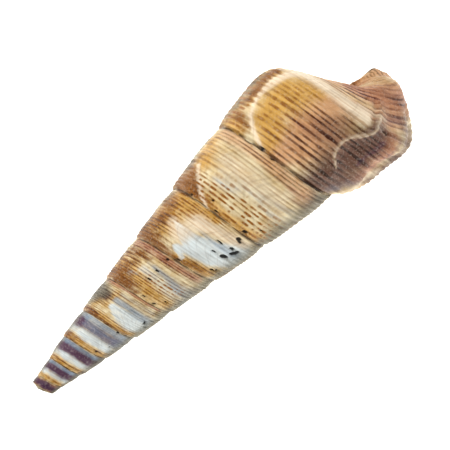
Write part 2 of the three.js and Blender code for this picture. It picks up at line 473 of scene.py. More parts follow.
@dataclass
class ShellWinding:
    """Winds the shell's surface: wall, base, lip, inside of the tube, tip and pillar.

    The outside is made of columns, each running down the wall at one turn. Three lists go from
    the tip to the lip, with one array for each column: vertex numbers, (turn, span) places, and
    rows in the section tables.
    """

    form: SpiralForm = field(default_factory=SpiralForm)
    surface: Surface = field(default_factory=Surface)
    columns: list[np.ndarray] = field(default_factory=list)
    places: list[np.ndarray] = field(default_factory=list)
    column_rows: list[np.ndarray] = field(default_factory=list)
    columns_per_turn: int = 112
    lining_depth: float = 1.4
    wall_steps: tuple[int, ...] = (35, 35, 35, 35, 70, 70, 70, 140, 140)
    base_steps: int = 44
    inside_turns: float = 1.2
    inside_every: int = 4
    lip_thin: float = 0.35
    lip_thin_turns: float = 0.12
    edge_forward_mm: float = 0.16
    fine_steps: int = 400
    dome_rings: tuple[float, ...] = (0.75, 0.5, 0.25)
    pillar_end: float = 0.155
    inner_rows: tuple[int, ...] = (2, 3, 4, 5, 6, 7, 8, 9, 10, 11, 12)
    inner_pillar: tuple = ((0.21, 0.042), (0.13, 0.036), (0.065, 0.04))
    roof_rows: tuple[int, ...] = (12, 11, 10, 9)
    roof_from_row: float = 30.0
    outline_rows: tuple[float, ...] = (
        0, 3, 4, 5, 6, 7, 8, 9, 10, 11, 12, 13.3, 14.6, 15.6, 18, 19, 20, 22,
    )

    def rows(self, table: tuple, first: int, last: int, steps: int) -> np.ndarray:
        """Space rows evenly along part of a section.

        Args:
            table: The section.
            first: The part's first row.
            last: Its last row.
            steps: How many steps it is cut into.

        Returns:
            The row numbers, with fractions.
        """
        fine = np.linspace(first, last, self.fine_steps)
        curve = self.form.along(np.array(table, float), fine)
        run = np.hypot(*np.diff(curve, axis=0).T)
        length = np.concatenate([[0.0], np.cumsum(run)])
        even = np.interp(np.linspace(0.0, length[-1], steps + 1), length, fine)
        even[0] = first
        even[-1] = last
        return even

    def spans(self, turn: np.ndarray, row: np.ndarray) -> np.ndarray:
        """Measure a column's spans: by drop on the wall, by length under the base.

        Args:
            turn: The turn of each vertex.
            row: Its row.

        Returns:
            Its span.
        """
        seam = self.form.seam_row
        shares = self.form.section(turn, row)
        pitch = self.form.growth - 1.0
        span = shares[:, 0] / pitch
        base = np.flatnonzero(row > seam)
        if len(base):
            run = np.hypot(*np.diff(shares[base[0] - 1 :], axis=0).T)
            span[base] = span[base[0] - 1] + np.cumsum(run) / pitch
        return span

    def wind(self) -> Surface:
        """Build the whole surface.

        Returns:
            The gathered surface, in millimetres, its axis along Z.
        """
        self.lay_columns()
        self.fill_columns()
        self.close_tip()
        self.close_pillar()
        self.line_inside()
        return self.surface

    def lay_columns(self) -> None:
        """Add the outside's vertices, from the lip back to the tip.

        A column before the last whorl shares its lowest vertex with the column one turn on.
        """
        form = self.form
        per_turn = self.columns_per_turn
        count = form.whorls * per_turn
        last_whorl = count - per_turn
        base = self.rows(form.body, form.seam_row, len(form.body) - 1, self.base_steps)[1:]
        self.columns = [np.empty(0)] * (count + 1)
        self.places = list(self.columns)
        self.column_rows = list(self.columns)
        for j in range(count, -1, -1):
            turn = form.last_turn - (count - j) / per_turn
            wall = self.rows(form.spire, 0, form.seam_row, self.steps_at(j))
            seam = len(wall) - 1
            is_open = j >= last_whorl
            row = np.concatenate([wall, base]) if is_open else wall
            at = turn + form.swing(turn, row)
            span = self.spans(at, row)
            points = form.place(at, form.section(at, row))
            if j > last_whorl:
                numbers = self.surface.add(points, at, span)
            else:
                keep = np.arange(len(row)) != seam
                fresh = self.surface.add(points[keep], at[keep], span[keep])
                numbers = np.insert(fresh, seam, self.columns[j + per_turn][0])
            if not is_open:
                span[seam] = 1.0
            self.columns[j] = numbers
            self.places[j] = np.stack([at, span], axis=1)
            self.column_rows[j] = row

    def steps_at(self, column: int) -> int:
        """Return how many steps a column's wall has; the numbers double as whorls grow."""
        return self.wall_steps[min(column // self.columns_per_turn, self.form.whorls - 1)]

    def fill_columns(self) -> None:
        """Fill between the outside's columns: the wall, then the last whorl's base."""
        places = self.places
        for j, (left, right) in enumerate(zip(self.columns[:-1], self.columns[1:])):
            steps_left = self.steps_at(j)
            steps_right = self.steps_at(j + 1)
            parts = [(slice(steps_left + 1), slice(steps_right + 1))]
            if j >= len(places) - 1 - self.columns_per_turn:
                parts.append((slice(steps_left, None), slice(steps_right, None)))
            for one, two in parts:
                self.surface.strip(left[one], right[two], places[j][one], places[j + 1][two])

    def close_tip(self) -> None:
        """Close the worn tip with rings that shrink over its dome."""
        form = self.form
        surface = self.surface
        around = range(self.columns_per_turn + 1)
        across = slice(self.wall_steps[0] - 1, 0, -1)
        loop = [self.columns[j][0] for j in around] + list(self.columns[0][across])
        at = [tuple(self.places[j][0]) for j in around]
        at += [tuple(p) for p in self.places[0][across]]
        loop.reverse()
        at.reverse()
        points = np.concatenate(surface.points)[np.array(loop, int)]
        centre = np.array([form.tip_centre_mm, 0.0])
        ring = np.array(loop + loop[:1])
        ring_at = np.array(at + at[:1])
        for share in self.dome_rings:
            flat = centre + (points[:, :2] - centre) * share
            z = form.dome(flat[:, 0], flat[:, 1])
            rim = points[:, 2] - form.dome(points[:, 0], points[:, 1])
            z = z + rim * share**2
            known = np.array(at)
            inner = surface.add(np.column_stack([flat, z]), known[:, 0], known[:, 1])
            inner = np.append(inner, inner[0])
            surface.strip(inner, ring, ring_at, ring_at)
            ring = inner
        top = np.array([[form.tip_centre_mm, 0.0, form.tip_height_mm]])
        hub = surface.add(top, at[0][0], at[0][1])[0]
        surface.fan(list(ring[:-1]), hub, at)

    def close_pillar(self) -> None:
        """Close the small end of the pillar."""
        form = self.form
        first = len(self.columns) - 1 - self.columns_per_turn
        loop = [column[-1] for column in self.columns[first:]]
        at = [tuple(p[-1]) for p in self.places[first:]]
        end = np.array([form.last_turn])
        middle = form.place(end, np.array([[self.pillar_end, 0.0]]))
        hub = self.surface.add(middle, at[-1][0], at[-1][1])[0]
        self.surface.fan(loop, hub, at)

    def ring_controls(self, turn: float, wall: float) -> tuple[np.ndarray, np.ndarray]:
        """Outline the tube's inside: outer wall, pillar, then roof.

        Args:
            turn: The outline's turn.
            wall: How thick the shell is there, as a share of the reach.

        Returns:
            The (drop, radius) shares of its points, and their turns.
        """
        form = self.form
        outer = form.offset(turn, self.inner_rows, -wall)
        pillar = np.array(self.inner_pillar)
        shrink = float(form.reach(turn - 1.0) / form.reach(turn))
        roof = form.offset(turn - 1.0, self.roof_rows, form.glaze)
        roof = np.stack([(1.0 + roof[:, 0]) * shrink - 1.0, roof[:, 1] * shrink], axis=1)
        lag = np.zeros(len(outer) + len(pillar) + len(roof))
        lag[: len(outer)] = form.swing(turn, np.array(self.inner_rows, float))
        return np.vstack([outer, pillar, roof]), turn + lag

    def line_inside(self) -> None:
        """Round off the lip and line the tube for a little more than one turn."""
        form = self.form
        surface, columns, places = self.surface, self.columns, self.places
        per_turn = self.columns_per_turn
        last = len(columns) - 1
        first = last - per_turn
        seam = self.wall_steps[-1]
        behind = slice(None, seam, -1)
        edge = np.concatenate([columns[last], columns[first][behind]])
        edge_at = np.vstack([places[last], places[first][behind]])
        roof = self.roof_from_row - self.column_rows[first][behind]
        outline = np.concatenate([self.column_rows[last], roof])
        where = np.interp(outline, self.outline_rows, np.arange(len(self.outline_rows)))
        steps = int(self.inside_turns * per_turn / self.inside_every)
        back = np.arange(steps + 1) * self.inside_every / per_turn
        rings = []
        for distance in back:
            turn = form.last_turn - float(distance)
            thick = self.lip_thin + (1 - self.lip_thin) * float(
                ease(0.0, self.lip_thin_turns, distance)
            )
            controls, turns = self.ring_controls(turn, form.wall * thick * self.lining_depth)
            table = np.column_stack([controls, turns])
            smooth = form.along(table, where)
            rings.append((form.place(smooth[:, 2], smooth[:, :2]), smooth[:, 2]))
        outside = np.concatenate(surface.points)[edge]
        lip_turn = math.radians(360 * form.last_turn)
        forward = np.array([-math.sin(lip_turn), math.cos(lip_turn), 0.0])
        middle = (outside + rings[0][0]) / 2 + forward * self.edge_forward_mm
        span = edge_at[:, 1]
        previous = surface.add(middle, form.last_turn, span, 0.5)
        at = np.column_stack([np.full(len(span), form.last_turn), span])
        self.join(edge, previous, edge_at, at)
        for points, turns in rings:
            numbers = surface.add(points, turns, span, 1.0)
            ring_at = np.column_stack([turns, span])
            self.join(previous, numbers, at, ring_at)
            previous, at = numbers, ring_at
        hub = surface.add(rings[-1][0].mean(axis=0)[None], rings[-1][1][0], 0.5, 1.0)[0]
        surface.fan(list(previous[::-1]), hub, [tuple(p) for p in at[::-1]])

    def join(
        self, outer: np.ndarray, inner: np.ndarray, outer_at: np.ndarray, inner_at: np.ndarray
    ) -> None:
        """Fill between two closed rings of vertices, given their places."""
        close = np.append(np.arange(len(outer)), 0)
        self.surface.strip(outer[close], inner[close], outer_at[close], inner_at[close])


def hand_marks() -> list[Mark]:
    """Lay the marks on the side of the shell that faces up, whorl by whorl.

    Returns:
        The marks.
    """
    s = Stain
    return [
        # Last whorl: olive, then an orange patch, the chalky growth band, honey, tan and shade.
        Mark(s.OLIVE, ((-0.02, 0.1, 2.2), (0.04, 0.24, 2.2), (0.03, 0.6, 2.2)), 0.7),
        Mark(s.OCHRE, ((0.0, 0.1, 2.4), (0.055, 0.2, 1.6), (0.03, 0.5, 2.2)), 0.5),
        Mark(s.HONEY, ((0.13, 0.03, 1.2), (0.07, 0.1, 2.0), (0.06, 0.3, 2.4), (0.06, 0.7, 2.2)), 0.9),
        Mark(s.OCHRE, ((0.15, 0.02, 0.7), (0.12, 0.07, 0.9), (0.09, 0.2, 0.9), (0.08, 0.32, 0.7)), 0.5),
        Mark(s.OCHRE, ((0.15, 0.1, 0.8), (0.1, 0.22, 0.8), (0.08, 0.4, 0.7)), 0.5),
        Mark(s.DASHES, ((0.14, 0.05, 1.0), (0.09, 0.16, 1.2)), 0.9),
        Mark(s.DASHES, ((0.03, 0.1, 2.4), (0.06, 0.3, 3.0), (0.04, 0.6, 3.0)), 1.0),
        Mark(s.OCHRE, ((0.085, 0.48, 0.8), (0.082, 0.62, 1.0), (0.078, 0.78, 1.0)), 0.85),
        Mark(s.CHALK, ((0.215, 0.0, 0.3), (0.168, 0.1, 0.32), (0.13, 0.22, 0.36),
                       (0.113, 0.36, 0.4), (0.108, 0.5, 0.5), (0.115, 0.66, 0.9),
                       (0.13, 0.82, 0.7)), 0.8, 1.2),
        Mark(s.HONEY, ((0.21, 0.1, 1.6), (0.165, 0.4, 2.6), (0.17, 0.62, 3.0),
                       (0.2, 0.82, 2.2)), 0.95),
        Mark(s.DASHES, ((0.16, 0.3, 0.8), (0.17, 0.5, 1.8), (0.17, 0.66, 0.8)), 0.75),
        Mark(s.TAN, ((0.25, 0.05, 2.2), (0.275, 0.4, 4.0), (0.25, 0.78, 3.0)), 0.95),
        Mark(s.LINES, ((0.22, 0.45, 2.0), (0.26, 0.5, 4.2), (0.35, 0.52, 5.0)), 1.0, 1.2),
        Mark(s.DASHES, ((0.2, 0.25, 1.6), (0.2, 0.6, 2.4)), 0.6),
        Mark(s.LINES, ((0.2, 0.12, 1.6), (0.35, 0.15, 2.2)), 0.9),
        Mark(s.RUST, ((0.24, 0.45, 1.6), (0.3, 0.5, 2.4)), 0.35),
        Mark(s.SHADE, ((0.3, 0.6, 3.0), (0.35, 0.5, 3.0)), 0.55),
        Mark(s.SHADE, ((0.37, 0.02, 3.4), (0.374, 0.4, 2.4), (0.387, 0.85, 2.0)), 0.85),
        Mark(s.SHADE, ((0.41, 0.05, 2.6), (0.42, 0.25, 1.8)), 0.7),
        # Painted shade: a dark strip in the trough beside the scar's ridge.
        Mark(s.SHADE, ((0.365, 0.4, 0.7), (0.36, 0.6, 0.8), (0.375, 0.8, 0.8)), 0.8),
        # Purple-brown at the whorl's left edge, partly painted shade where the side turns from the
        # light.
        Mark(s.SHADE, ((0.48, 0.3, 1.4), (0.475, 0.8, 1.6), (0.47, 1.05, 1.5)), 0.5),
        Mark(s.RUST, ((0.435, 0.38, 1.6), (0.425, 0.6, 2.0), (0.425, 0.8, 1.8)), 0.95),
        Mark(s.TAN, ((0.435, 0.5, 1.0), (0.43, 0.75, 1.0)), 0.6),
        Mark(s.VIOLET, ((0.4, 0.45, 0.3), (0.395, 0.6, 0.35), (0.41, 0.78, 0.4)), 0.5),
        Mark(s.VIOLET, ((0.445, 0.45, 0.3), (0.44, 0.65, 0.3), (0.45, 0.85, 0.4)), 0.45),
        # Pale line along the scar's ridge: partly its pale colour, partly a painted highlight on the
        # raised crest.
        Mark(s.CHALK, ((0.367, 0.3, 0.16), (0.347, 0.36, 0.2), (0.329, 0.45, 0.24),
                       (0.325, 0.54, 0.26), (0.33, 0.62, 0.26), (0.344, 0.69, 0.26),
                       (0.358, 0.75, 0.26), (0.372, 0.82, 0.28), (0.377, 0.9, 0.3),
                       (0.386, 0.98, 0.3)), 0.66, 1.2),
        Mark(s.TAN, ((0.35, 0.36, 0.4), (0.327, 0.54, 0.5), (0.362, 0.77, 0.5)), 0.6),
        Mark(s.CHALK, ((0.47, 0.12, 1.3), (0.465, 0.35, 0.8), (0.47, 0.5, 0.6)), 0.55),
        Mark(s.BLUE, ((0.42, 0.1, 1.2), (0.45, 0.3, 1.0)), 0.3),
        # Keel and base of the last whorl.
        Mark(s.CHALK, ((0.08, 0.93, 1.1), (0.2, 0.93, 1.1), (0.34, 0.9, 1.0)), 1.0),
        Mark(s.TAN, ((0.1, 1.2, 2.0), (0.3, 1.3, 2.4), (0.5, 1.3, 2.6), (0.7, 1.4, 2.6)), 0.85),
        Mark(s.RUST, ((0.24, 1.32, 1.3), (0.4, 1.28, 1.9), (0.6, 1.3, 1.9)), 0.95),
        Mark(s.TAN, ((-0.1, 2.3, 5.0), (0.15, 2.0, 5.0), (0.4, 2.0, 5.0), (0.7, 2.0, 5.0)), 0.95),
        Mark(s.RUST, ((0.0, 2.5, 2.4), (0.2, 2.3, 2.4), (0.5, 2.4, 2.4)), 0.5),
        Mark(s.RUST, ((0.1, 1.7, 1.8), (0.3, 1.8, 1.8), (0.5, 1.8, 1.8)), 0.8),
        Mark(s.LINES, ((0.1, 1.2, 1.6), (0.3, 1.2, 2.0), (0.5, 1.2, 2.2)), 1.0),
        Mark(s.RUST, ((0.15, 1.06, 0.2), (0.3, 1.03, 0.2), (0.36, 1.0, 0.2)), 0.6),
        Mark(s.TAN, ((0.3, 0.96, 0.9), (0.4, 0.98, 1.2), (0.46, 1.05, 1.2)), 0.8),
        Mark(s.RUST, ((0.38, 1.06, 0.8), (0.46, 1.1, 1.0)), 0.5),
        Mark(s.CHALK, ((0.31, 1.0, 0.4), (0.36, 1.0, 0.4), (0.41, 1.02, 0.35)), 0.55),
        Mark(s.VIOLET, ((0.4, 1.0, 0.6), (0.46, 1.08, 0.9)), 0.4),
        Mark(s.CHALK, ((0.3, 1.6, 0.5), (0.42, 1.58, 0.5)), 0.4),
        Mark(s.SHADE, ((0.44, 1.35, 0.8), (0.52, 1.25, 1.2)), 0.4),
        # Purple-brown at the whorl's left edge, partly painted shade where the side turns from the
        # light.
        Mark(s.SHADE, ((0.5, 0.5, 1.6), (0.52, 0.8, 2.0), (0.5, 1.1, 1.4)), 0.6),
        Mark(s.VIOLET, ((0.47, 0.7, 0.7), (0.48, 0.95, 0.8)), 0.35),
        Mark(s.SHADE, ((0.55, 0.4, 3.0), (0.62, 0.6, 2.5)), 0.5),
        Mark(s.TAN, ((0.56, 0.3, 4.0), (0.66, 0.7, 4.0)), 0.8),
        # The whorl before it: cream with dashes, and a pale growth band.
        Mark(s.OCHRE, ((-0.97, 0.16, 1.4), (-0.92, 0.14, 1.4), (-0.86, 0.1, 0.9)), 1.0),
        Mark(s.OLIVE, ((-1.0, 0.15, 1.0), (-0.98, 0.5, 1.0), (-0.99, 0.8, 1.0)), 0.7),
        Mark(s.CHALK, ((-0.79, 0.0, 0.25), (-0.825, 0.09, 0.3), (-0.855, 0.19, 0.34),
                       (-0.885, 0.29, 0.36), (-0.91, 0.4, 0.36)), 0.75, 1.2),
        Mark(s.OCHRE, ((-0.96, 0.34, 1.3), (-0.92, 0.22, 1.6), (-0.88, 0.14, 1.2)), 1.0),
        Mark(s.OLIVE, ((-0.99, 0.4, 1.4), (-0.95, 0.34, 1.0)), 0.5),
        Mark(s.HONEY, ((-0.92, 0.2, 1.4), (-0.9, 0.45, 1.6), (-0.93, 0.7, 1.8)), 0.8),
        Mark(s.OCHRE, ((-0.95, 0.45, 0.7), (-0.93, 0.6, 0.9), (-0.94, 0.75, 0.8)), 0.45),
        Mark(s.HONEY, ((-0.87, 0.06, 0.5), (-0.75, 0.06, 0.8), (-0.6, 0.08, 0.8)), 0.8),
        Mark(s.OCHRE, ((-0.85, 0.05, 0.5), (-0.72, 0.05, 0.5), (-0.58, 0.06, 0.5)), 0.4),
        Mark(s.DASHES, ((-0.9, 0.14, 1.6), (-0.75, 0.22, 2.6), (-0.62, 0.2, 2.2)), 1.0, 1.2),
        Mark(s.LINES, ((-0.93, 0.55, 2.0), (-0.75, 0.58, 1.6), (-0.62, 0.6, 1.6)), 0.55),
        Mark(s.WORN, ((-0.82, 0.42, 1.2), (-0.7, 0.5, 1.4), (-0.6, 0.5, 1.2)), 0.35),
        Mark(s.CHALK, ((-0.84, 0.62, 1.2), (-0.66, 0.64, 1.3)), 0.45),
        Mark(s.TAN, ((-0.92, 0.92, 0.9), (-0.75, 0.92, 1.0), (-0.6, 0.9, 1.0)), 0.65),
        Mark(s.LINES, ((-0.95, 0.85, 1.0), (-0.8, 0.9, 1.1), (-0.55, 0.88, 1.1)), 0.75),
        Mark(s.RUST, ((-0.66, 0.8, 0.8), (-0.58, 0.82, 1.2), (-0.54, 0.85, 1.2)), 0.5),
        Mark(s.SHADE, ((-0.62, 0.97, 0.5), (-0.54, 0.9, 0.9), (-0.5, 0.6, 1.0)), 0.45),
        # Third from the end: honey on the right, a worn white patch pointing at it.
        Mark(s.HONEY, ((-1.95, 0.2, 1.6), (-1.88, 0.5, 3.0), (-1.9, 0.85, 1.5)), 0.85),
        Mark(s.OCHRE, ((-1.97, 0.1, 0.9), (-1.86, 0.1, 0.9), (-1.77, 0.04, 0.6)), 1.0),
        Mark(s.OCHRE, ((-1.98, 0.4, 2.0), (-1.9, 0.4, 1.8), (-1.92, 0.78, 2.2)), 0.8),
        Mark(s.OLIVE, ((-2.0, 0.3, 2.0), (-1.99, 0.8, 2.0)), 0.6),
        Mark(s.LINES, ((-1.96, 0.4, 3.0), (-1.88, 0.4, 2.6), (-1.83, 0.3, 1.4)), 0.9),
        Mark(s.LINES, ((-1.9, 0.85, 1.4), (-1.78, 0.92, 0.6)), 0.7),
        Mark(s.CHALK, ((-1.76, 0.74, 0.9), (-1.66, 0.84, 0.9), (-1.6, 0.9, 0.7)), 0.75),
        Mark(s.DASHES, ((-1.94, 0.6, 1.6), (-1.84, 0.72, 1.4)), 0.9),
        Mark(s.HONEY, ((-1.75, 0.06, 0.5), (-1.66, 0.1, 0.8), (-1.6, 0.12, 0.8)), 0.85),
        Mark(s.OCHRE, ((-1.76, 0.05, 0.5), (-1.69, 0.08, 0.7), (-1.62, 0.09, 0.6)), 0.7),
        Mark(s.LINES, ((-1.72, 0.1, 0.9), (-1.58, 0.14, 1.0)), 0.7),
        Mark(s.CHALK, ((-1.84, 0.5, 0.8), (-1.79, 0.4, 1.3), (-1.78, 0.72, 1.2)), 0.7),
        Mark(s.WORN, ((-1.835, 0.52, 0.15), (-1.79, 0.46, 0.7), (-1.73, 0.38, 1.5),
                      (-1.66, 0.46, 1.9), (-1.6, 0.62, 2.2)), 1.0, 0.6),
        Mark(s.WORN, ((-1.77, 0.2, 0.5), (-1.73, 0.1, 0.35)), 0.8, 0.8),
        Mark(s.HONEY, ((-1.9, 0.86, 0.9), (-1.82, 0.88, 0.9), (-1.74, 0.93, 0.6)), 0.9, 0.8),
        Mark(s.DASHES, ((-1.84, 0.86, 0.9), (-1.72, 0.95, 0.4)), 0.8),
        Mark(s.BLUE, ((-1.76, 0.64, 0.25), (-1.68, 0.62, 0.5), (-1.58, 0.62, 0.8)), 0.5),
        Mark(s.LINES, ((-1.7, 0.6, 0.6), (-1.6, 0.75, 0.9)), 0.4),
        # Fourth: honey and brown threads, a pale middle, blue-green to the left.
        Mark(s.HONEY, ((-2.96, 0.3, 1.3), (-2.88, 0.4, 2.2), (-2.78, 0.3, 1.5),
                       (-2.7, 0.2, 1.0), (-2.6, 0.15, 0.7)), 0.7),
        Mark(s.OCHRE, ((-2.97, 0.14, 1.2), (-2.86, 0.14, 1.2), (-2.76, 0.06, 0.5)), 0.9),
        Mark(s.OCHRE, ((-2.97, 0.5, 1.6), (-2.87, 0.5, 1.4)), 0.65),
        Mark(s.OLIVE, ((-3.0, 0.3, 1.4), (-2.99, 0.8, 1.4)), 0.6),
        Mark(s.LINES, ((-2.95, 0.35, 2.2), (-2.8, 0.4, 2.2), (-2.58, 0.4, 2.2)), 0.9),
        Mark(s.DASHES, ((-2.9, 0.3, 1.2), (-2.74, 0.35, 1.2), (-2.64, 0.5, 0.8)), 0.9),
        Mark(s.OCHRE, ((-2.92, 0.76, 0.6), (-2.84, 0.77, 0.6), (-2.81, 0.78, 0.3)), 0.85),
        Mark(s.WORN, ((-2.8, 0.52, 0.7), (-2.72, 0.46, 0.8), (-2.64, 0.42, 0.8)), 0.45),
        Mark(s.WORN, ((-2.84, 0.3, 0.5), (-2.81, 0.5, 0.6), (-2.8, 0.64, 0.5)), 0.25),
        Mark(s.BLUE, ((-2.78, 0.66, 0.35), (-2.68, 0.6, 0.6), (-2.58, 0.5, 1.4)), 0.6),
        Mark(s.RUST, ((-2.95, 0.92, 0.5), (-2.8, 0.92, 0.5), (-2.6, 0.9, 0.5)), 0.8),
        Mark(s.OCHRE, ((-2.95, 0.92, 0.5), (-2.74, 0.92, 0.5)), 0.5),
        Mark(s.LINES, ((-2.95, 0.88, 0.7), (-2.6, 0.88, 0.7)), 0.8),
        # Fifth: white in the middle, orange-brown at the upper right.
        Mark(s.OCHRE, ((-3.97, 0.08, 0.6), (-3.88, 0.07, 0.55), (-3.83, 0.05, 0.35)), 1.0),
        Mark(s.HONEY, ((-3.82, 0.1, 0.6), (-3.72, 0.09, 0.5), (-3.58, 0.1, 0.4)), 0.7),
        Mark(s.OCHRE, ((-3.8, 0.04, 0.2), (-3.6, 0.04, 0.2)), 0.7),
        Mark(s.HONEY, ((-3.9, 0.35, 0.7), (-3.84, 0.45, 0.9), (-3.82, 0.8, 0.6)), 0.5),
        Mark(s.OCHRE, ((-3.92, 0.5, 0.7), (-3.84, 0.52, 0.6)), 0.5),
        Mark(s.WORN, ((-3.79, 0.46, 0.5), (-3.72, 0.38, 1.0), (-3.64, 0.36, 1.1),
                      (-3.57, 0.4, 0.9)), 0.9, 0.8),
        # Painted shade: purple-brown and grey-olive darkening the whorl's right edge.
        Mark(s.SHADE, ((-3.99, 0.6, 1.4), (-3.91, 0.62, 1.2), (-3.86, 0.6, 0.7)), 0.85),
        Mark(s.OLIVE, ((-3.97, 0.55, 1.4), (-3.89, 0.62, 1.2)), 0.7),
        Mark(s.LINES, ((-3.97, 0.6, 1.4), (-3.85, 0.6, 1.4), (-3.8, 0.85, 0.7), (-3.6, 0.85, 0.6)), 0.9),
        Mark(s.LINES, ((-3.97, 0.15, 0.7), (-3.6, 0.1, 0.6)), 0.8),
        Mark(s.LINES, ((-3.8, 0.6, 0.5), (-3.58, 0.6, 0.6)), 0.5),
        Mark(s.BLUE, ((-3.8, 0.64, 0.4), (-3.7, 0.63, 0.5), (-3.58, 0.6, 0.6)), 0.8),
        Mark(s.RUST, ((-3.95, 0.96, 0.35), (-3.78, 0.98, 0.25), (-3.6, 0.97, 0.2)), 0.8),
        Mark(s.BLUE, ((-3.8, 0.84, 0.3), (-3.62, 0.84, 0.35)), 0.4),
        # The early whorls keep the banding of a young shell, and a few bare places.
        Mark(s.OCHRE, ((-4.97, 0.16, 0.6), (-4.9, 0.12, 0.5), (-4.84, 0.1, 0.3)), 0.8),
        # Painted shade at the whorl's right edge.
        Mark(s.SHADE, ((-4.98, 0.62, 1.1), (-4.89, 0.64, 0.9)), 0.85),
        Mark(s.WORN, ((-4.84, 0.36, 0.4), (-4.75, 0.34, 0.55), (-4.62, 0.34, 0.5)), 0.8),
        Mark(s.WORN, ((-5.84, 0.4, 0.3), (-5.75, 0.38, 0.4), (-5.65, 0.38, 0.35)), 0.5),
    ]


def painted_edge_shade() -> list[Mark]:
    """Lay painted shade, grey-olive, on the whorls' left edges and on the early ones' right.

    Returns:
        One mark for each whorl and side.
    """
    form = SpiralForm()
    edge_shade_strips = (
        # Whorls, turns to the painted edge shade, turns to where the reach is read, half width as a
        # share of it, upper and lower span, strength.
        (range(-8, 0), 0.475, 0.5, 0.085, 0.1, 0.9, 0.95),
        (range(-8, -3), 0.02, 0.0, 0.08, 0.45, 0.8, 0.75),
    )
    marks = []
    for whorls, on, read, share, top, bottom, strength in edge_shade_strips:
        for whorl in whorls:
            half = share * float(form.reach(whorl + read))
            path = ((whorl + on, top, half), (whorl + on, bottom, half))
            marks.append(Mark(Stain.OLIVE, path, strength))
    return marks


def banding() -> list[Mark]:
    """Lay the stripes that run right round the early whorls.

    Returns:
        The marks.
    """
    s = Stain
    return [
        *girdle(s.HONEY, -7.3, -4.3, 0.12, 0.13, 0.7),
        *girdle(s.OCHRE, -7.3, -4.4, 0.16, 0.04, 0.6),
        *girdle(s.OCHRE, -6.6, -4.2, 0.03, 0.03, 0.6),
        *girdle(s.WORN, -7.4, -4.2, 0.38, 0.13, 0.6),
        *girdle(s.RUST, -8.28, -7.3, 0.7, 0.25, 0.9),
        *girdle(s.SHADE, -8.28, -7.5, 0.7, 0.24, 0.6),
        *girdle(s.VIOLET, -8.28, -7.2, 0.7, 0.22, 0.8),
        *girdle(s.VIOLET, -7.2, -5.6, 0.69, 0.26, 1.0),
        *girdle(s.VIOLET, -5.6, -4.9, 0.66, 0.2, 0.9),
        *girdle(s.LINES, -6.4, -4.0, 0.15, 0.16, 0.6),
        *girdle(s.VIOLET, -4.9, -4.0, 0.66, 0.17, 0.8),
        *girdle(s.BLUE, -4.84, -4.3, 0.68, 0.18, 0.5),
        *girdle(s.BLUE, -7.4, -4.1, 0.92, 0.1, 0.75),
    ]


def far_side() -> list[Mark]:
    """Scatter the same stains over the side that faces down.

    Returns:
        The marks.
    """
    rng = np.random.default_rng(FAR_SIDE_SEED)
    form = SpiralForm()
    # Stain, half width as a share of the whorl's height, strength.
    palette = (
        (Stain.HONEY, 0.26, 0.8),
        (Stain.TAN, 0.24, 0.6),
        (Stain.OLIVE, 0.22, 0.6),
        (Stain.SHADE, 0.16, 0.55),
        (Stain.LINES, 0.24, 0.6),
        (Stain.DASHES, 0.24, 0.8),
        (Stain.WORN, 0.16, 0.8),
        (Stain.CHALK, 0.05, 0.7),
    )
    marks = []
    for whorl in range(-4, 1):
        for stain, half, strength in palette:
            for _ in range(FAR_MARKS):
                turn = whorl + rng.uniform(0.54, 0.96)
                span = rng.uniform(0.1, 0.95)
                width = half * form.whorl_height(turn) * rng.uniform(0.6, 1.1)
                drift = rng.uniform(0.03, 0.08)
                tilt = rng.uniform(-0.2, 0.2)
                path = ((turn - drift, span - tilt, width), (turn + drift, span + tilt, width))
                marks.append(Mark(stain, path, strength, FAR_SOFT))
    return marks


def pits() -> list[Mark]:
    """Bore and chip the shell with short deep strokes.

    Returns:
        The marks: pits on the upper side, then scattered ones on the side that faces down.
    """
    # Turn, span, radius in millimetres.
    places = (
        (-1.632, 0.5, 0.3), (-1.62, 0.52, 0.22), (-1.616, 0.62, 0.24), (-1.608, 0.66, 0.26),
        (-1.604, 0.7, 0.2), (-1.632, 0.7, 0.2), (-1.643, 0.9, 0.26), (-1.63, 0.87, 0.16),
        (-1.617, 0.2, 0.16), (-1.6, 0.23, 0.14), (-1.67, 0.49, 0.12), (-1.685, 0.68, 0.1),
        (-1.672, 0.67, 0.12), (-1.73, 0.03, 0.14), (-2.757, 0.41, 0.11), (-2.76, 0.63, 0.12),
        (-2.762, 0.93, 0.14), (-2.63, 0.2, 0.1), (-2.66, 0.04, 0.2), (-2.72, 0.07, 0.1),
        (-3.6, 0.5, 0.14), (-3.575, 0.42, 0.11), (-3.61, 0.55, 0.1), (-4.66, 0.12, 0.14),
        (-4.62, 0.45, 0.1), (-4.66, 0.97, 0.13), (-0.755, 0.98, 0.12), (-0.83, 0.985, 0.12),
        (-0.65, 0.04, 0.26), (-0.76, 0.03, 0.16), (-0.86, 0.02, 0.14), (0.21, 0.01, 0.15),
        (0.405, 0.87, 0.16), (0.35, 1.2, 0.12), (-0.79, 0.12, 0.12), (-0.62, 0.18, 0.1),
    )
    rng = np.random.default_rng(PIT_SEED)
    pits_at = [(*place, 1.0) for place in places]
    for whorl in range(-5, 1):
        for _ in range(PIT_MARKS):
            turn = whorl + rng.uniform(0.5, 1.0)
            span = rng.uniform(0.05, 0.95)
            pits_at.append((turn, span, rng.uniform(0.08, 0.2), 0.9))
    found = []
    for turn, span, radius, strength in pits_at:
        path = ((turn - PIT_HALF_TURN, span, radius), (turn + PIT_HALF_TURN, span, radius))
        found.append(Mark(Stain.PIT, path, strength, 1.0))
    return found


